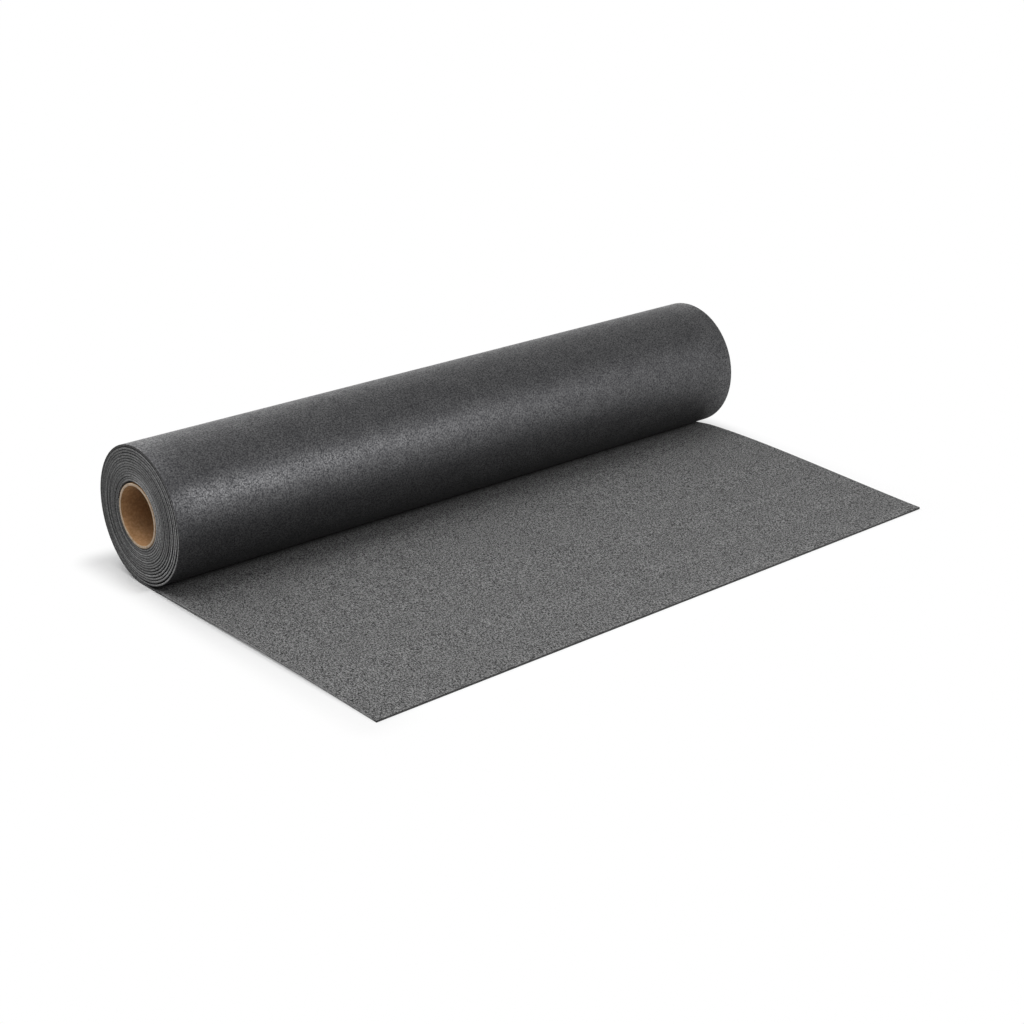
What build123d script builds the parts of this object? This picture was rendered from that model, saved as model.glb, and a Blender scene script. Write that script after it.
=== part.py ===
"""A roll of dry ridge strip on its cardboard core, lying on the floor with its end unrolled.

Millimetres, +Z up. The roll's axis lies along X, and the unrolled tail runs towards -Y.
The origin is on the floor, under the middle of the whole object.
"""
import os

from build123d import *

# Strip: a felt-like sheet of one width and one thickness
strip_width = 1000
strip_thickness = 2.5
tail_length = 482  # from below the roll's centre to the free edge

# Roll
roll_diameter = 191
turn_slack = 0.8  # air between two turns
seam_width = 0.5  # the dark line between two turns
seam_depth = 1.5
nip_height = 0.5  # height at which the roll closes onto the tail

# Core tube
core_bore = 80
core_wall = 3.5
core_setback = 5.8  # the front turns are slack, so the core sits this far behind the roll's centre
core_sag = 0.6  # and hangs this far below it
core_edge_break = 0.5
winding_clearance = 0.2  # between the tube and the innermost turn

roll_radius = roll_diameter / 2
core_radius = core_bore / 2 + core_wall
winding_radius = core_radius + winding_clearance

# The roll's centre stands behind the origin, so that the origin is under the middle
roll_y = (tail_length - roll_radius) / 2
tail_end_y = roll_y - tail_length
core_y = roll_y + core_setback
core_z = roll_radius - core_sag
near_end_x = -strip_width / 2
far_end_x = strip_width / 2

# The outermost turn comes down the back and goes out under the roll as the tail,
# so the front half is one strip thickness smaller than the back half
front_radius = roll_radius - strip_thickness / 2
front_centre_z = strip_thickness + front_radius
nip_drop = front_radius - nip_height
nip_reach = (front_radius**2 - nip_drop**2) ** 0.5
nip_y = roll_y - nip_reach

# Corners of the section, as (Y, Z)
tail_corner = (tail_end_y, 0)
tail_top = (tail_end_y, strip_thickness)
roll_foot = (roll_y, 0)
roll_back = (roll_y + roll_radius, roll_radius)
roll_crown = (roll_y, roll_diameter)
roll_front = (roll_y - front_radius, front_centre_z)
nip_upper = (nip_y, strip_thickness + nip_height)
nip_lower = (nip_y, strip_thickness)
core_centre = (core_y, core_z)

# The seam between the turns is a chain of quarter circles. Where two of them meet, the next one
# is smaller by a step, and its centre is nearer to that point by the same step. The four steps of
# a turn add up to the pitch, and their differences carry the centre from the roll's to the core's.
outer_seam_radius = roll_radius - strip_thickness
inner_seam_radius = winding_radius + strip_thickness
winding_depth = outer_seam_radius - inner_seam_radius
turns_on_end = int(winding_depth / (strip_thickness + turn_slack))
quarter_pitch = winding_depth / turns_on_end / 4
half_drift_y = core_setback / turns_on_end / 2
half_drift_z = core_sag / turns_on_end / 2
back_step = quarter_pitch + half_drift_y
top_step = quarter_pitch - half_drift_z
front_step = quarter_pitch - half_drift_y
bottom_step = quarter_pitch + half_drift_z

# Every section below is drawn on the roll's ends, with Y across and Z up
section_plane = Plane(origin=(near_end_x, 0, 0), x_dir=(0, 1, 0), z_dir=(1, 0, 0))
far_plane = Plane(origin=(far_end_x, 0, 0), x_dir=(0, 1, 0), z_dir=(1, 0, 0))


def draw_seam():
    """Draw the spiral line between the turns, from under the roll inwards to the first turn."""
    radius = outer_seam_radius
    centre = Vector(roll_y, roll_radius)
    Line(nip_lower, (roll_y, strip_thickness))
    CenterArc(centre, radius, -90, 90)
    for _ in range(turns_on_end):
        for quarter, step in enumerate((back_step, top_step, front_step, bottom_step)):
            joint_angle = 90 * quarter
            radius -= step
            centre += Vector(step, 0).rotate(Axis.Z, joint_angle)
            CenterArc(centre, radius, joint_angle, 90)


# One sheet, wound up and laid out: the roll, its bore and the flat tail
with BuildPart() as ridge_strip:
    with BuildSketch(section_plane):
        with BuildLine():
            Line(tail_corner, roll_foot)
            ThreePointArc(roll_foot, roll_back, roll_crown)
            ThreePointArc(roll_crown, roll_front, nip_upper)
            Line(nip_upper, nip_lower)
            Line(nip_lower, tail_top)
            Line(tail_top, tail_corner)
        make_face()
        with Locations(core_centre):
            Circle(winding_radius, mode=Mode.SUBTRACT)
    extrude(amount=strip_width)
    for end_plane, inwards in ((section_plane, seam_depth), (far_plane, -seam_depth)):
        with BuildSketch(end_plane):
            with BuildLine():
                draw_seam()
            trace(line_width=seam_width)
        extrude(amount=inwards, mode=Mode.SUBTRACT)
ridge_strip.part.label = "ridge_strip"

# Spiral-wound cardboard tube, as long as the strip is wide
with BuildPart() as core_tube:
    with BuildSketch(section_plane):
        with Locations(core_centre):
            Circle(core_radius)
            Circle(core_bore / 2, mode=Mode.SUBTRACT)
    extrude(amount=strip_width)
    chamfer(core_tube.edges().filter_by(GeomType.CIRCLE), core_edge_break)
core_tube.part.label = "core_tube"

os.makedirs("parts", exist_ok=True)
export_step(ridge_strip.part, "parts/ridge_strip.step")
export_step(core_tube.part, "parts/core_tube.step")
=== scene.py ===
import math

import bpy
from mathutils import Matrix, Vector, noise


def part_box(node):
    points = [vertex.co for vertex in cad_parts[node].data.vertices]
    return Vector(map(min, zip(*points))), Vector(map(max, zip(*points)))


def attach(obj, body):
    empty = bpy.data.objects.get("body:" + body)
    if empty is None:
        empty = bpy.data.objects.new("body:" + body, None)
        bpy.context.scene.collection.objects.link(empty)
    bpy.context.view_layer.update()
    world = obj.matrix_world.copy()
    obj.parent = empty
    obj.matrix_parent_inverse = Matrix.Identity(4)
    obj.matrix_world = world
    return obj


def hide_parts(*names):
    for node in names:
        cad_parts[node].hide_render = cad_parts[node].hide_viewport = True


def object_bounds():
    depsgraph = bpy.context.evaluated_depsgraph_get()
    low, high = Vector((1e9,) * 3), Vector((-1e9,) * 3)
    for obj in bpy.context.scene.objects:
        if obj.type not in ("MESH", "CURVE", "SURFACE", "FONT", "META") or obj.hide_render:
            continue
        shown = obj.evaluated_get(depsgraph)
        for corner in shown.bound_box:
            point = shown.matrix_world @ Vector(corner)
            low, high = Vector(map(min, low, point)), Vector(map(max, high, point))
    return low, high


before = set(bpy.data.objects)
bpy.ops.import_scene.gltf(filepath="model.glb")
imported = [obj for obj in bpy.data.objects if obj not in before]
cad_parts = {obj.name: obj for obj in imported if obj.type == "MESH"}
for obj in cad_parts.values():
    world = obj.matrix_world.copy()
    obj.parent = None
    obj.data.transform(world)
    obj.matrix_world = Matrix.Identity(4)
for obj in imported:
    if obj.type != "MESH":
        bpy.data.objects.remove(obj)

cadBox = [list(corner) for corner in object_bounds()]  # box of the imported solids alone
stripLow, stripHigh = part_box("ridge_strip")
coreLow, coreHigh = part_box("core_tube")
fullTurn = 2 * math.pi
quarterTurn = 0.25  # in turns
bevelAngle = math.radians(60)  # edges sharper than this are rounded
smoothAngle = math.radians(50)  # and those softer than this shaded smooth
print("frame loaded, box", cadBox)


# small helpers

def deselectAll():
    if bpy.context.mode != "OBJECT":
        bpy.ops.object.mode_set(mode="OBJECT")
    bpy.ops.object.select_all(action="DESELECT")


def makeActive(piece):
    deselectAll()
    piece.select_set(True)
    bpy.context.view_layer.objects.active = piece


def applyModifier(piece, kind, **settings):
    makeActive(piece)
    modifier = piece.modifiers.new(kind.title(), kind)
    for name, value in settings.items():
        setattr(modifier, name, value)
    bpy.ops.object.modifier_apply(modifier=modifier.name)


def smoothStep(value):
    value = min(max(value, 0.0), 1.0)
    return value * value * (3 - 2 * value)


def fadeBetween(value, start, end):  # 0 at the start and 1 at the end
    return smoothStep((value - start) / (end - start))


def grey(value):
    return (value, value, value, 1)


def feed(socket, value):  # links another node's socket, or sets a plain value
    if isinstance(value, bpy.types.NodeSocket):
        socket.id_data.links.new(value, socket)
    else:
        socket.default_value = value


def setInputs(node, **values):
    for name, value in values.items():
        feed(node.inputs[name.replace("_", " ")], value)


def addNode(tree, kind, place, **settings):
    node = tree.nodes.new(kind)
    node.location = place
    for name, value in settings.items():
        setattr(node, name, value)
    return node


def addMath(tree, operation, place, *values):
    node = addNode(tree, "ShaderNodeMath", place, operation=operation)
    for socket, value in zip(node.inputs, values):
        feed(socket, value)
    return node.outputs["Value"]


def addVectorMath(tree, operation, place, *values):
    node = addNode(tree, "ShaderNodeVectorMath", place, operation=operation)
    for socket, value in zip(node.inputs, values):
        feed(socket, value)
    return node


def addRange(tree, place, value, shape="LINEAR", **limits):
    node = addNode(tree, "ShaderNodeMapRange", place, interpolation_type=shape)
    setInputs(node, Value=value, **limits)
    return node.outputs["Result"]


def addAttribute(tree, name, place):
    return addNode(tree, "ShaderNodeAttribute", place, attribute_name=name).outputs["Fac"]


def newMaterial(name):
    material = bpy.data.materials.new(name)
    material.use_nodes = True
    tree = material.node_tree
    return material, tree, tree.nodes["Principled BSDF"]


def newGroup(name, inputs, outputs):
    group = bpy.data.node_groups.new(name, "ShaderNodeTree")
    for label, kind, value in inputs:
        socket = group.interface.new_socket(label, in_out="INPUT", socket_type=kind)
        if value is not None:
            socket.default_value = value
    for label, kind in outputs:
        group.interface.new_socket(label, in_out="OUTPUT", socket_type=kind)
    entry = addNode(group, "NodeGroupInput", (-900, 0))
    leave = addNode(group, "NodeGroupOutput", (700, 0))
    return group, entry, leave


# felt grain: pale and dark fibre clumps, with slow blotches over them

grainPattern = {
    "fibreDetail": 3.0,
    "fibreRoughness": 0.7,
    "poreSoftness": 0.4,
    "poreShare": -0.25,  # pores are dark
    "clumpRange": (0.17, 0.60),  # what of the noise goes from dark to pale
    "blotchScale": 42.0,  # blotches in a metre
    "blotchDetail": 3.0,
    "blotchRange": (0.3, 0.7),
}


def makeGrainGroup(pattern):
    group, entry, leave = newGroup(
        "feltGrain",
        [("Place", "NodeSocketVector", None),
         ("Clumps", "NodeSocketFloat", 300.0),  # clumps in a metre
         ("Dark", "NodeSocketColor", grey(0.05)),
         ("Light", "NodeSocketColor", grey(0.2)),
         ("Blotch", "NodeSocketFloat", 0.1),
         ("Tone", "NodeSocketFloat", 1.0),  # brightness of the whole pattern
         ("Sparse", "NodeSocketFloat", 1.0)],  # above 1, fewer clumps are pale
        [("Colour", "NodeSocketColor"), ("Grain", "NodeSocketFloat")])
    given = entry.outputs
    fibre = addNode(group, "ShaderNodeTexNoise", (-600, 200))
    setInputs(fibre, Vector=given["Place"], Scale=given["Clumps"],
              Detail=pattern["fibreDetail"], Roughness=pattern["fibreRoughness"])
    pores = addNode(group, "ShaderNodeTexVoronoi", (-600, -100), feature="SMOOTH_F1")
    setInputs(pores, Vector=given["Place"], Scale=given["Clumps"],
              Smoothness=pattern["poreSoftness"])
    clumps = addMath(group, "MULTIPLY_ADD", (-400, 0),
                     pores.outputs["Distance"], pattern["poreShare"], fibre.outputs["Fac"])
    low, high = pattern["clumpRange"]
    spread = addRange(group, (-200, 0), clumps, "SMOOTHSTEP", From_Min=low, From_Max=high)
    specks = addMath(group, "POWER", (-50, 200), spread, given["Sparse"])
    mix = addNode(group, "ShaderNodeMix", (100, 200), data_type="RGBA")
    feed(mix.inputs[0], specks)
    feed(mix.inputs[6], given["Dark"])  # 6, 7 and output 2 are the node's colour sockets
    feed(mix.inputs[7], given["Light"])
    blotches = addNode(group, "ShaderNodeTexNoise", (-600, -400))
    setInputs(blotches, Vector=given["Place"], Scale=pattern["blotchScale"],
              Detail=pattern["blotchDetail"])
    low, high = pattern["blotchRange"]
    shade = addRange(group, (-200, -400), blotches.outputs["Fac"],
                     From_Min=low, From_Max=high, To_Min=-1.0, To_Max=1.0)
    depth = addMath(group, "MULTIPLY_ADD", (0, -400), shade, given["Blotch"], 1.0)
    shaded = addVectorMath(group, "SCALE", (350, 200), mix.outputs[2])
    setInputs(shaded, Scale=addMath(group, "MULTIPLY", (150, -400), depth, given["Tone"]))
    setInputs(leave, Colour=shaded.outputs["Vector"],
              Grain=addMath(group, "MULTIPLY", (350, -100), spread, depth))
    return group


feltGrain = makeGrainGroup(grainPattern)


def addGrain(tree, shader, place, look):  # colour and bump from the grain
    grain = addNode(tree, "ShaderNodeGroup", (-700, 0), node_tree=feltGrain)
    setInputs(grain, Place=place, Clumps=look["clumps"], Dark=look["dark"], Light=look["light"],
              Blotch=look["blotch"], Sparse=look["sparse"])
    bump = addNode(tree, "ShaderNodeBump", (-350, -400))
    setInputs(bump, Strength=look["bump"], Distance=look["relief"], Height=grain.outputs["Grain"])
    setInputs(shader, Base_Color=grain.outputs["Colour"], Normal=bump.outputs["Normal"],
              Specular_IOR_Level=look["specular"])
    return grain


def makeFelt(name, look):
    material, tree, shader = newMaterial(name)
    coords = addNode(tree, "ShaderNodeTexCoord", (-1050, 200))
    stretch = addNode(tree, "ShaderNodeMapping", (-850, 200))
    setInputs(stretch, Vector=coords.outputs["Object"], Scale=look["stretch"])
    grain = addGrain(tree, shader, stretch.outputs["Vector"], look)
    height = grain.outputs["Grain"]
    setInputs(shader, Roughness=addRange(tree, (-350, -150), height,
                                         To_Min=look["roughest"], To_Max=look["smoothest"]))
    if "skinStart" in look:  # on the cut edge, turns have a dark outer skin, deepened towards the bottom as painted shade, and some are paler, partly as painted light by side of the end
        skin = addRange(tree, (-1100, -300), addAttribute(tree, "skinSide", (-1300, -300)),
                        "SMOOTHSTEP", From_Min=look["skinStart"], To_Min=1.0,
                        To_Max=addAttribute(tree, "skinToneAndPaintedShade", (-1300, -500)))
        turn = addAttribute(tree, "turnToneAndPaintedLight", (-1300, -700))
        setInputs(grain, Tone=addMath(tree, "MULTIPLY", (-900, -300), skin, turn))
        return material
    # painted shade in the crease under the roll darkens the colour
    nipShade = addAttribute(tree, "nipPaintedShade", (-1300, -300))
    setInputs(grain, Tone=nipShade)
    if "coat" in look:  # pressed fibres shine and the pits between them don't; the shine is also dimmed by the painted shade in the crease
        low, high = look["coat"]
        sheen = addRange(tree, (-350, -650), height, To_Min=low, To_Max=high)
        setInputs(shader, Coat_Weight=addMath(tree, "MULTIPLY", (-150, -650), sheen, nipShade),
                  Coat_Roughness=look["coatRoughness"], Coat_IOR=look["coatIndex"],
                  Specular_Tint=look["tint"])
    return material


faceLooks = {
    "outer": {"clumps": 480.0, "stretch": (1.0, 1.0, 1.0), "dark": grey(0.001),
              "light": grey(0.025), "sparse": 1.4, "blotch": 0.2, "roughest": 0.58,
              "smoothest": 0.42, "bump": 0.6, "relief": 0.00012, "specular": 0.45,
              "tint": (0.92, 0.92, 1.0, 1), "coat": (0.0, 1.0), "coatRoughness": 0.46,
              "coatIndex": 1.7},
    "inner": {"clumps": 520.0, "stretch": (1.45, 0.75, 1.0),  # clumps are longer along the strip
              "dark": grey(0.013), "light": grey(0.314), "sparse": 1.3, "blotch": 0.06,
              "roughest": 0.95, "smoothest": 0.8, "bump": 0.5, "relief": 0.0002,
              "specular": 0.2},
    "edge": {"clumps": 460.0, "stretch": (1.0, 1.0, 1.0), "dark": grey(0.1),
             "light": grey(0.275), "sparse": 1.0, "blotch": 0.1, "roughest": 0.95,
             "smoothest": 0.85, "bump": 0.6, "relief": 0.0002, "specular": 0.2,
             "skinStart": 0.45},  # how far across the edge the skin begins
}
print("felt materials")


# strip: one flat sheet, laid out at the front and wound onto the core

strip = {
    "thickness": 0.0029,
    "slack": 0.0003,  # air between two turns
    # turns that stand off at the front, counted from outside
    "looseTurns": {1: 0.0011, 2: 0.0005, 3: 0.0006, 4: 0.0006, 5: 0.0005, 6: 0.0004, 8: 0.0003},
    "looseDrift": 0.8,  # share of that by which the turns inside sit further back
    "coreClearance": 0.0002,
    "edgeShift": 0.0006,  # how far a turn's edge stands in or out on the ends
    "turnSteps": 72,
    "tailSteps": 36,
    "widthSteps": 20,
    "leftLift": (0.0032, 1.0),  # the tail's rise at its left edge, and how near the roll it is
    "rightLift": (0.0075, 0.59),
    "liftStart": 0.12,  # share of the tail over which the rise begins at the roll
    "endTaper": 0.0058,  # the free end is drawn in at each side
    "endSkew": 0.0060,  # and cut a little out of square
    "edgeRound": 0.00025,
    "roundSteps": 2,
    "tailFrom": 0.1,  # share of the tail from which its edge no longer looks like the roll's
    "freeFrom": 0.99,  # and from which it is the free end
    # noise along the turns: how often it changes in a turn, and its place
    "shiftNoise": (1.9, 0.37, 0.71),
    "toneNoise": (1.37, 0.9, 0.2),
    "pairNoise": (0.45, 0.3, 0.6),
    # sides of the ends, in degrees up from the back
    "sides": {"back": 0, "top": 75, "upperFront": 145, "front": 180, "lowerFront": 235,
              "lowerBack": 310},
    "plainTone": 1.2,  # brightness of the cut edge
    "turnVariety": 0.4,
    # painted shade on the back and the front of the ends
    "backDim": 0.42,
    "frontDim": 0.1,
    "paleTurns": 0.5,  # painted light on the outer turns at the front
    "paleTurnsStart": (0.3, 0.6),  # turns over which that sets in
    "paleTurnsEnd": (4.4, 4.0),  # and ends
    "paleCore": 0.95,  # painted light on the innermost turns at the upper front
    "paleCoreStart": (5, 2),  # turns from the core over which that sets in
    "paleFoot": 0.16,  # painted light on the lower front
    "pairedTurns": 0.5,  # at the lower back every other turn is darker
    "pairDrift": 2.0,  # how unevenly
    "freeEndTone": 0.35,  # the cut at the free end is dark
    # the tail's side edges are painted lighter than the roll's ends: painted light
    "tailEdgeTone": 1.7,
    "skinDark": 0.18,  # the dark outer skin on the cut edge, at the bottom, where it is darkened further as painted shade
    "skinFaint": 0.75,  # and at the top
    "skinTail": 0.7,
    "outlineTone": 0.03,  # and on the outermost turn, over the back and the top
    "outlineShare": 0.5,  # that turn's whole edge is darker there
    "outlineSkinEnd": (0.7, 0.85),  # turns over which the dark skin ends
    "outlineEdgeEnd": (0.6, 0.75),  # and the darker edge
    "nipDark": 0.08,  # painted shade where the roll closes onto the tail
    "nipTail": (0.021, 0.050),  # distances on the tail over which that fades
    "nipRoll": (0.93, 0.79),  # and turns on the roll's underside
    # where each side goes on the baked image: low and high across, low and high up
    "bakeAreas": {
        "tailTop": (0.0, 0.80, 0.0, 0.40), "outerTurn": (0.0, 0.80, 0.41, 0.91),
        "hiddenInside": (0.0, 0.80, 0.925, 0.945), "hiddenOutside": (0.0, 0.80, 0.95, 0.97),
        "tailUnder": (0.0, 0.80, 0.975, 0.995),
        "nearEnd": (0.81, 1.0, 0.0, 0.19), "farEnd": (0.81, 1.0, 0.20, 0.39),
        "nearTailEdge": (0.82, 0.835, 0.42, 0.91), "farTailEdge": (0.85, 0.865, 0.42, 0.91),
        "freeEdge": (0.88, 0.895, 0.42, 0.91), "coreEdge": (0.91, 0.925, 0.42, 0.91),
    },
    "bakeSpan": 0.196,  # metres of the roll's ends on that image
    "bakeTurns": 1.02,  # turns of the outer face on it
    "coreEdgeTurns": 0.002,  # from the inner end, what counts as its cut
}


def windStrip(strip):
    halfWidth = (stripHigh.x - stripLow.x) / 2
    rollRadius = (stripHigh.z - stripLow.z) / 2
    rollY = stripHigh.y - rollRadius
    thickness = strip["thickness"]
    pitch = thickness + strip["slack"]
    looseTurns = strip["looseTurns"]
    bottomRadius = rollRadius + pitch * quarterTurn  # the roll's own is at its back
    outerRadius = bottomRadius - thickness / 2  # of the strip's middle
    coreRadius = (coreHigh.z - coreLow.z) / 2 + strip["coreClearance"] + thickness / 2
    rollCentre = Vector((rollY, bottomRadius))
    coreCentre = Vector(((coreLow.y + coreHigh.y) / 2, (coreLow.z + coreHigh.z) / 2))
    turns = (outerRadius - coreRadius - sum(looseTurns.values())) / pitch
    looseShift = Vector((strip["looseDrift"], 0)) * sum(looseTurns.values())
    steadyDrift = coreCentre - rollCentre - looseShift

    def turnAngle(wound):  # up from the roll's back; wound is turns inwards from below the roll
        return fullTurn * (wound - quarterTurn)

    def turnPoint(wound):
        radius = outerRadius - pitch * wound
        centre = rollCentre + steadyDrift * (wound / turns)
        for turn, gap in looseTurns.items():
            eased = gap * smoothStep(wound - turn + quarterTurn)
            radius -= eased
            centre += Vector((strip["looseDrift"] * eased, 0))
        angle = turnAngle(wound)
        return centre + radius * Vector((math.cos(angle), math.sin(angle)))

    def tailLift(side, share):
        height, lean = strip[side + "Lift"]
        arch = math.sin(math.pi * share ** lean) ** (0.5 + 0.5 / lean)  # leans to the roll
        return height * arch * fadeBetween(share, 0, strip["liftStart"])

    rows = []  # (y, z, share of the tail, turns wound) of each row, from the free edge to the core
    for step in range(strip["tailSteps"]):
        share = 1 - step / strip["tailSteps"]
        rows.append((rollY + (stripLow.y - rollY) * share, thickness / 2, share, 0))
    turnRows = math.ceil(turns * strip["turnSteps"])
    for step in range(turnRows + 1):
        wound = turns * step / turnRows
        place = turnPoint(wound)
        rows.append((place.x, place.y, 0, wound))
    stripLength = sum(math.dist(a[:2], b[:2]) for a, b in zip(rows, rows[1:]))

    def turnNoise(kind, wound):
        pace, *place = strip[kind + "Noise"]
        return noise.noise((pace * wound, *place))

    def facing(side, wound):  # from 1 on that side of the end to -1 opposite
        return math.cos(turnAngle(wound) - math.radians(strip["sides"][side]))

    # painted shade in the crease where the roll closes onto the tail, on the tail and on the roll's
    # underside
    def nipPaintedShade(wound, share):
        if share:
            near, far = strip["nipTail"]
            place = share * (rollY - stripLow.y)
        else:
            near, far = strip["nipRoll"]
            place = wound if 0.5 < wound < 1 else far  # only the outermost turn's front half
        return strip["nipDark"] + (1 - strip["nipDark"]) * fadeBetween(place, near, far)

    def skinToneAndPaintedShade(wound, share):
        if share > strip["tailFrom"]:
            return strip["skinTail"]
        # the skin is painted darker towards the bottom of the ends, as painted shade over its own
        # dark colour
        upper = 0.5 + 0.5 * facing("top", wound)
        tone = strip["skinDark"] + (strip["skinFaint"] - strip["skinDark"]) * upper ** 2
        outline = 1 - fadeBetween(wound, *strip["outlineSkinEnd"])
        return tone + (strip["outlineTone"] - tone) * outline

    def edgeToneAndPaintedLight(wound, share):  # of the cut edge: every turn differs a little, and each side of the ends gets painted light and shade
        if share > strip["freeFrom"]:
            return strip["freeEndTone"]
        if share > strip["tailFrom"]:
            return strip["tailEdgeTone"]
        on = {side: max(0.0, facing(side, wound)) for side in strip["sides"]}
        outside = fadeBetween(wound, *strip["paleTurnsStart"])
        outside *= fadeBetween(wound, *strip["paleTurnsEnd"])
        inside = fadeBetween(turns - wound, *strip["paleCoreStart"])
        paired = math.sin(math.pi * wound + strip["pairDrift"] * turnNoise("pair", wound))
        tone = strip["plainTone"] + strip["turnVariety"] * turnNoise("tone", wound)
        # painted shade at the back and front, painted light on the outer turns, the innermost turns
        # and the lower front
        tone -= strip["backDim"] * on["back"] + strip["frontDim"] * on["front"]
        tone += strip["paleTurns"] * on["front"] * outside
        tone += strip["paleCore"] * on["upperFront"] * inside
        tone += strip["paleFoot"] * on["lowerFront"] ** 2
        tone += strip["pairedTurns"] * on["lowerBack"] * paired
        outline = 1 - fadeBetween(wound, *strip["outlineEdgeEnd"])
        return tone * (1 - strip["outlineShare"] * outline)

    deselectAll()
    bpy.ops.mesh.primitive_grid_add(
        x_subdivisions=strip["widthSteps"], y_subdivisions=len(rows) - 1, size=1, calc_uvs=False)
    sheet = bpy.context.object
    sheet.name = sheet.data.name = "wound_ridge_strip"
    tones = {"turnToneAndPaintedLight": edgeToneAndPaintedLight, "skinToneAndPaintedShade": skinToneAndPaintedShade, "nipPaintedShade": nipPaintedShade,
             "tailShare": lambda wound, share: share,
             "turnShare": lambda wound, share: wound / turns}
    for name in tones:
        sheet.data.attributes.new(name, "FLOAT", "POINT")
    for vertex in sheet.data.vertices:
        across = 2 * vertex.co.x
        y, z, share, wound = rows[round((vertex.co.y + 0.5) * (len(rows) - 1))]
        for name, tone in tones.items():
            sheet.data.attributes[name].data[vertex.index].value = tone(wound, share)
        shift = strip["edgeShift"] * turnNoise("shift", wound) * min(wound, 1, turns - wound)
        lift = tailLift("left", share) * (1 - across) / 2
        lift += tailLift("right", share) * (1 + across) / 2
        vertex.co = (across * (halfWidth - strip["endTaper"] * share) + shift,
                     y + strip["endSkew"] * across * share, z + lift)
    return sheet, stripLength, turns


def finishStrip(sheet, strip):
    makeActive(sheet)
    bpy.ops.object.mode_set(mode="EDIT")
    bpy.ops.mesh.select_all(action="SELECT")
    bpy.ops.mesh.flip_normals()  # the grid's lower side is the outside of the wound roll
    bpy.ops.object.mode_set(mode="OBJECT")
    for name, look in faceLooks.items():
        sheet.data.materials.append(makeFelt(name + "Felt", look))
    flatCount = len(sheet.data.vertices)
    applyModifier(sheet, "SOLIDIFY", thickness=strip["thickness"], offset=0, use_even_offset=True,
                  material_offset=1, material_offset_rim=2)
    # 1 on the outer face, 0 on the inner
    skin = sheet.data.attributes.new("skinSide", "FLOAT", "POINT")
    for index, value in enumerate(skin.data):
        value.value = 1.0 if index < flatCount else 0.0
    applyModifier(sheet, "BEVEL", width=strip["edgeRound"], segments=strip["roundSteps"],
                  limit_method="ANGLE", angle_limit=bevelAngle)
    makeActive(sheet)
    bpy.ops.object.shade_smooth_by_angle(angle=smoothAngle)


def mapStrip(sheet, strip, turns):  # most of the image goes to the sides that show
    mesh = sheet.data
    places = mesh.uv_layers.new(name="OFBake")
    shares, wounds, skins = (
        mesh.attributes[name].data for name in ("tailShare", "turnShare", "skinSide"))
    rollY = stripHigh.y - (stripHigh.z - stripLow.z) / 2
    rollZ = (stripLow.z + stripHigh.z) / 2

    def faceMean(values, face):
        return sum(values[index].value for index in face.vertices) / len(face.vertices)

    def chooseArea(face):
        tail, wound = faceMean(shares, face), faceMean(wounds, face)
        side = ("outer", "inner", "edge")[face.material_index]
        end = "near" if face.center.x < 0 else "far"
        if side == "inner":
            return "tailTop" if tail else "hiddenInside"
        if side == "outer" and tail:
            return "tailUnder"
        if side == "outer":
            return "outerTurn" if wound * turns < 1 else "hiddenOutside"
        if tail > strip["freeFrom"]:
            return "freeEdge"
        if wound > 1 - strip["coreEdgeTurns"] / turns:
            return "coreEdge"
        return end + ("TailEdge" if tail else "End")

    def placeOn(area, index):
        corner = mesh.vertices[index].co
        across = (corner.x - stripLow.x) / (stripHigh.x - stripLow.x)
        if area in ("nearEnd", "farEnd"):
            sign = -1 if area == "nearEnd" else 1
            return (sign * (corner.y - rollY) / strip["bakeSpan"] + 0.5,
                    (corner.z - rollZ) / strip["bakeSpan"] + 0.5)
        if area in ("freeEdge", "coreEdge"):
            return skins[index].value, across
        if area in ("nearTailEdge", "farTailEdge"):
            return skins[index].value, shares[index].value
        if area in ("tailTop", "tailUnder"):
            return across, 1 - shares[index].value
        if area == "outerTurn":
            return across, 1 - wounds[index].value * turns / strip["bakeTurns"]
        return across, 1 - wounds[index].value

    for face in mesh.polygons:
        area = chooseArea(face)
        left, right, low, high = strip["bakeAreas"][area]
        for loop in face.loop_indices:
            u, v = (min(max(value, 0), 1) for value in placeOn(area, mesh.loops[loop].vertex_index))
            places.uv[loop].vector = (left + (right - left) * u, low + (high - low) * v)
    for name in ("tailShare", "turnShare"):
        mesh.attributes.remove(mesh.attributes[name])


woundStrip, stripLength, stripTurns = windStrip(strip)
finishStrip(woundStrip, strip)
mapStrip(woundStrip, strip, stripTurns)
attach(woundStrip, "root")
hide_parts("ridge_strip")
print("strip wound, length", round(stripLength, 3), "faces", len(woundStrip.data.polygons))


# core: a board tube with sawn rims

core = {
    "wall": 0.0035,
    "sides": 96,
    "edgeBreak": 0.0005,
    "breakSteps": 2,
    "rimWear": 0.00025,  # how uneven the sawn rim is
    "wearPace": 3,  # how often that changes round the rim
    "rimFacing": 0.3,  # faces turned further than this to an end are rim
    "board": {"clumps": 260.0, "blotch": 0.12, "sparse": 1.0, "bump": 0.3, "relief": 0.0002,
              "roughness": 0.8, "specular": 0.3},
    # the wall is painted darker deep in the bore and paler at the mouths, as painted shade and
    # painted light
    "wallLook": {"dark": (0.34, 0.184, 0.082, 1), "light": (0.47, 0.274, 0.134, 1),
                 "deepTone": 0.86, "mouthTone": 1.14, "mouthDepth": 0.035},
    "rimLook": {"dark": (0.48, 0.36, 0.25, 1), "light": (0.68, 0.55, 0.42, 1)},
}


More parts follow.
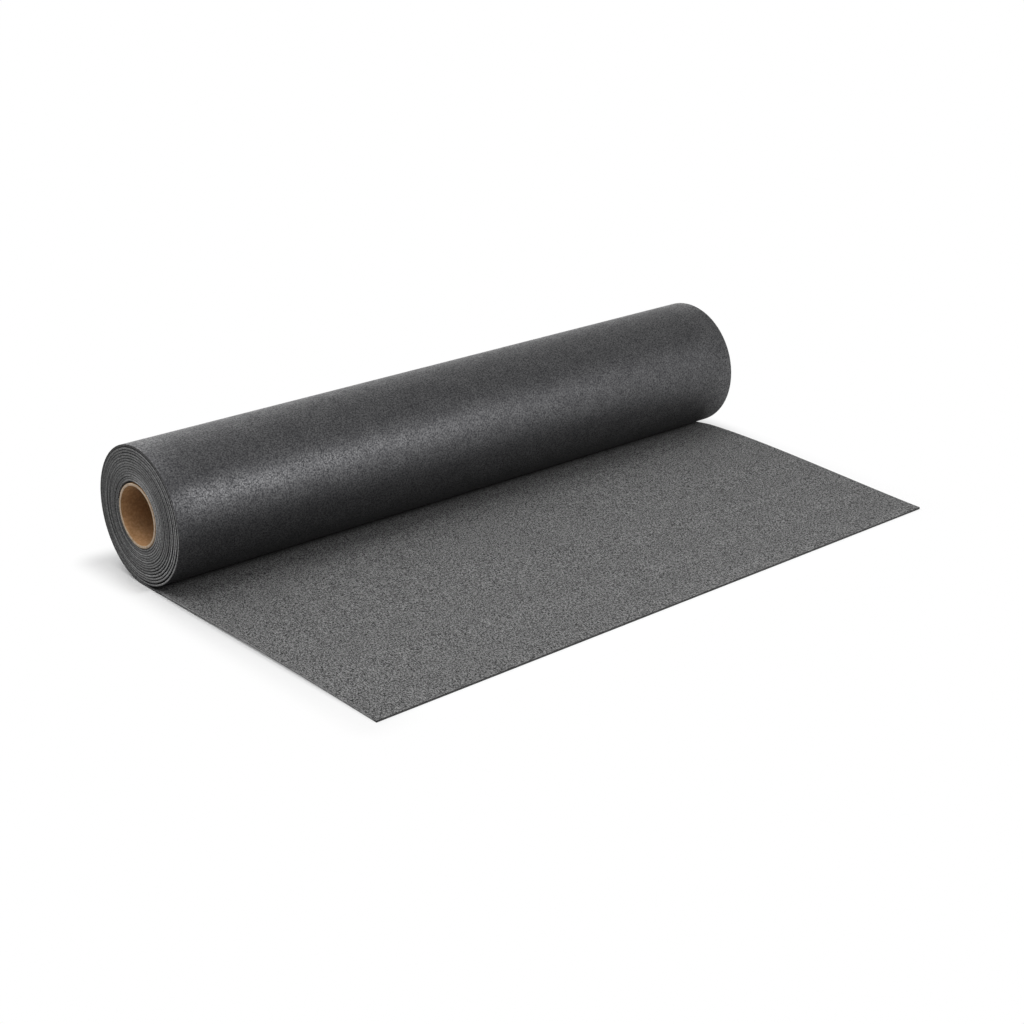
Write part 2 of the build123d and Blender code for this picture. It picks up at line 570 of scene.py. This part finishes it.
def makeBoard(name, look):
    material, tree, shader = newMaterial(name)
    coords = addNode(tree, "ShaderNodeTexCoord", (-1500, 0)).outputs["Object"]
    grain = addGrain(tree, shader, coords, look)
    setInputs(shader, Roughness=look["roughness"])
    if "deepTone" in look:  # painted shade away from the tube's mouths, and painted light at them
        place = addNode(tree, "ShaderNodeSeparateXYZ", (-1300, -300))
        setInputs(place, Vector=coords)
        along = addMath(tree, "ABSOLUTE", (-1100, -300), place.outputs["X"])
        setInputs(grain, Tone=addRange(
            tree, (-900, -300), along, "SMOOTHSTEP",
            From_Min=coreHigh.x - look["mouthDepth"], From_Max=coreHigh.x,
            To_Min=look["deepTone"], To_Max=look["mouthTone"]))
    return material


def makeCore(core):
    centre = (coreLow + coreHigh) / 2
    deselectAll()
    bpy.ops.mesh.primitive_cylinder_add(
        vertices=core["sides"], radius=(coreHigh.z - coreLow.z) / 2, depth=coreHigh.x - coreLow.x,
        end_fill_type="NOTHING", location=centre, rotation=(0, math.pi / 2, 0), calc_uvs=False)
    tube = bpy.context.object
    tube.name = tube.data.name = "board_core_tube"
    bpy.ops.object.transform_apply(location=True, rotation=True, scale=True)
    applyModifier(tube, "SOLIDIFY", thickness=core["wall"], offset=-1, use_even_offset=True)
    applyModifier(tube, "BEVEL", width=core["edgeBreak"], segments=core["breakSteps"],
                  limit_method="ANGLE", angle_limit=bevelAngle)
    pace = core["wearPace"]
    for vertex in tube.data.vertices:
        end = math.copysign(1, vertex.co.x)
        angle = math.atan2(vertex.co.z - centre.z, vertex.co.y - centre.y)
        wear = noise.noise((pace * math.cos(angle), pace * math.sin(angle), end))
        vertex.co.x -= end * core["rimWear"] * (0.5 + 0.5 * wear)
    tube.data.materials.append(makeBoard("boardWall", core["board"] | core["wallLook"]))
    tube.data.materials.append(makeBoard("boardRim", core["board"] | core["rimLook"]))
    for face in tube.data.polygons:
        face.material_index = 1 if abs(face.normal.x) > core["rimFacing"] else 0
    makeActive(tube)
    bpy.ops.object.shade_smooth_by_angle(angle=smoothAngle)
    return tube


coreTube = makeCore(core)
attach(coreTube, "root")
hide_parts("core_tube")
print("core tube")


# floor, world, lamps and camera

studio = {
    "floorSize": 60.0,
    "floorColour": 0.95,
    "paintedShadowColour": 0.80,  # painted shadow: the floor's colour at the left, where the shadow falls
    "shadeEdge": (-0.5, -0.4),
    "floorBounce": 0.45,  # the floor's colour in what it throws back onto the object
    "shadowShare": 0.55,  # how much of the floor's own shading shows beside the object
    "shadowReach": 0.048,  # how far from the object's box that fades out
    "mirrorReach": 0.25,  # and in reflections
    "frontWhite": 0.6,  # white over the shading at the tail's free end
    "frontFade": 0.1,  # y at which that has faded out
    "ambient": (0.20, 0.20, 0.20, 1),
    "zenith": 0.55,  # the white surroundings are dimmer overhead
    "zenithFrom": 0.45,  # height on the sky from which they are
    "keyPlace": (0.73, -2.22, 1.43), "keySize": (1.2, 0.35), "keyPower": 40.0,
    "topPlace": (-1.2, 0.3, 2.7), "topSize": (2.2, 2.2), "topPower": 53.0,
    "backPlace": (-0.3, 1.8, 1.4), "backSize": (1.8, 1.8), "backPower": 15.0,
    "aim": (0.0, 0.1, 0.05),
}
photoCamera = {
    "azimuth": -41.3517, "elevation": 22.5671, "tilt": 0.8639,  # degrees
    "distance": 2.75343, "target": (-0.04622, -0.01264, 0.05),
    "focalPixels": 2034.26, "imagePixels": 1024, "sensor": 36.0,
}


def addBackdropRays(tree):  # 1 for rays that show the white background
    path = addNode(tree, "ShaderNodeLightPath", (-900, 300)).outputs
    mirrored = addMath(tree, "MAXIMUM", (-700, 300), path["Is Camera Ray"], path["Is Glossy Ray"])
    return addMath(tree, "MAXIMUM", (-550, 300), mirrored, path["Is Transmission Ray"])


def makeFloor(studio):
    deselectAll()
    bpy.ops.mesh.primitive_plane_add(size=studio["floorSize"])
    floor = bpy.context.object
    floor.name = "studio_floor"
    material, tree, shader = newMaterial("studioFloor")
    tree.nodes.remove(shader)
    seen = addNode(tree, "ShaderNodeLightPath", (-1100, 600)).outputs["Is Camera Ray"]
    coords = addNode(tree, "ShaderNodeTexCoord", (-1300, 0)).outputs["Object"]
    place = addNode(tree, "ShaderNodeSeparateXYZ", (-1100, -250))
    setInputs(place, Vector=coords)
    left, right = studio["shadeEdge"]
    # the floor is painted darker at the left: a painted shadow
    shade = addRange(tree, (-500, -250), place.outputs["X"], "SMOOTHSTEP",
                     From_Min=left, From_Max=right,
                     To_Min=studio["paintedShadowColour"], To_Max=studio["floorColour"])
    matt = addNode(tree, "ShaderNodeBsdfDiffuse", (0, -100))
    setInputs(matt, Color=addRange(tree, (-250, -150), seen,
                                   To_Min=studio["floorBounce"], To_Max=shade))
    # white beside the object, over the floor's own shading
    beside = addRange(tree, (-700, -250), place.outputs["X"], "SMOOTHSTEP",
                      From_Min=left, From_Max=right, To_Max=1 - studio["shadowShare"])
    front = addRange(tree, (-700, -500), place.outputs["Y"],
                     From_Min=cadBox[0][1], From_Max=studio["frontFade"],
                     To_Min=studio["frontWhite"], To_Max=0.0)
    larger = addMath(tree, "MAXIMUM", (-500, -400), beside, front)
    nearest = addMath(tree, "MULTIPLY", (-350, -400), larger, seen)
    # and further out, by the distance from the object's box
    sides = addVectorMath(tree, "ABSOLUTE", (-1100, 0), coords)
    beyond = addVectorMath(tree, "SUBTRACT", (-950, 0), sides.outputs["Vector"], cadBox[1])
    outside = addVectorMath(tree, "MAXIMUM", (-800, 0), beyond.outputs["Vector"])
    reach = addVectorMath(tree, "LENGTH", (-650, 0), outside.outputs["Vector"])
    limit = addRange(tree, (-700, 500), seen,
                     To_Min=studio["mirrorReach"], To_Max=studio["shadowReach"])
    fade = addRange(tree, (-500, 0), reach.outputs["Value"], "SMOOTHSTEP",
                    From_Max=limit, To_Min=nearest)
    glow = addNode(tree, "ShaderNodeEmission", (0, -250))
    mix = addNode(tree, "ShaderNodeMixShader", (250, 0))
    feed(mix.inputs[0], addMath(tree, "MULTIPLY", (-250, 100), addBackdropRays(tree), fade))
    feed(mix.inputs[1], matt.outputs["BSDF"])
    feed(mix.inputs[2], glow.outputs["Emission"])
    setInputs(tree.nodes["Material Output"], Surface=mix.outputs["Shader"])
    floor.data.materials.append(material)


def makeWorld(studio):
    world = bpy.data.worlds.new("studioWorld")
    bpy.context.scene.world = world
    world.use_nodes = True
    tree = world.node_tree
    ambient = tree.nodes["Background"]
    setInputs(ambient, Color=studio["ambient"])
    coords = addNode(tree, "ShaderNodeTexCoord", (-900, -200))
    height = addNode(tree, "ShaderNodeSeparateXYZ", (-700, -200))
    setInputs(height, Vector=coords.outputs["Generated"])
    white = addNode(tree, "ShaderNodeBackground", (0, -200))
    setInputs(white, Color=addRange(tree, (-500, -200), height.outputs["Z"], "SMOOTHSTEP",
                                    From_Max=studio["zenithFrom"], To_Min=1.0,
                                    To_Max=studio["zenith"]))
    mix = addNode(tree, "ShaderNodeMixShader", (250, 0))
    feed(mix.inputs[0], addBackdropRays(tree))
    feed(mix.inputs[1], ambient.outputs["Background"])
    feed(mix.inputs[2], white.outputs["Background"])
    setInputs(tree.nodes["World Output"], Surface=mix.outputs["Shader"])


def addSoftbox(label, studio):
    deselectAll()
    place = Vector(studio[label + "Place"])
    aim = (Vector(studio["aim"]) - place).to_track_quat("-Z", "Y").to_euler()
    bpy.ops.object.light_add(type="AREA", location=place, rotation=aim)
    lamp = bpy.context.object
    lamp.name = label + "Softbox"
    lamp.data.shape = "RECTANGLE"
    lamp.data.size, lamp.data.size_y = studio[label + "Size"]
    lamp.data.energy = studio[label + "Power"]


def makeCamera(view):
    turn, rise = math.radians(view["azimuth"]), math.radians(view["elevation"])
    tilt = math.radians(view["tilt"])
    back = Vector((math.sin(turn) * math.cos(rise), -math.cos(turn) * math.cos(rise),
                   math.sin(rise)))
    level = Vector((0, 0, 1)).cross(back).normalized()
    right = level * math.cos(tilt) + back.cross(level) * math.sin(tilt)
    axes = Matrix((right, back.cross(right), back)).transposed()
    deselectAll()
    bpy.ops.object.camera_add(location=Vector(view["target"]) + back * view["distance"],
                              rotation=axes.to_euler())
    camera = bpy.context.object
    camera.data.sensor_width = view["sensor"]
    camera.data.lens = view["focalPixels"] / view["imagePixels"] * view["sensor"]
    bpy.context.scene.camera = camera


makeFloor(studio)
makeWorld(studio)
for label in ("key", "top", "back"):
    addSoftbox(label, studio)
makeCamera(photoCamera)
bpy.context.scene.view_settings.view_transform = "Standard"
print("studio and camera")

bpy.context.view_layer.update()
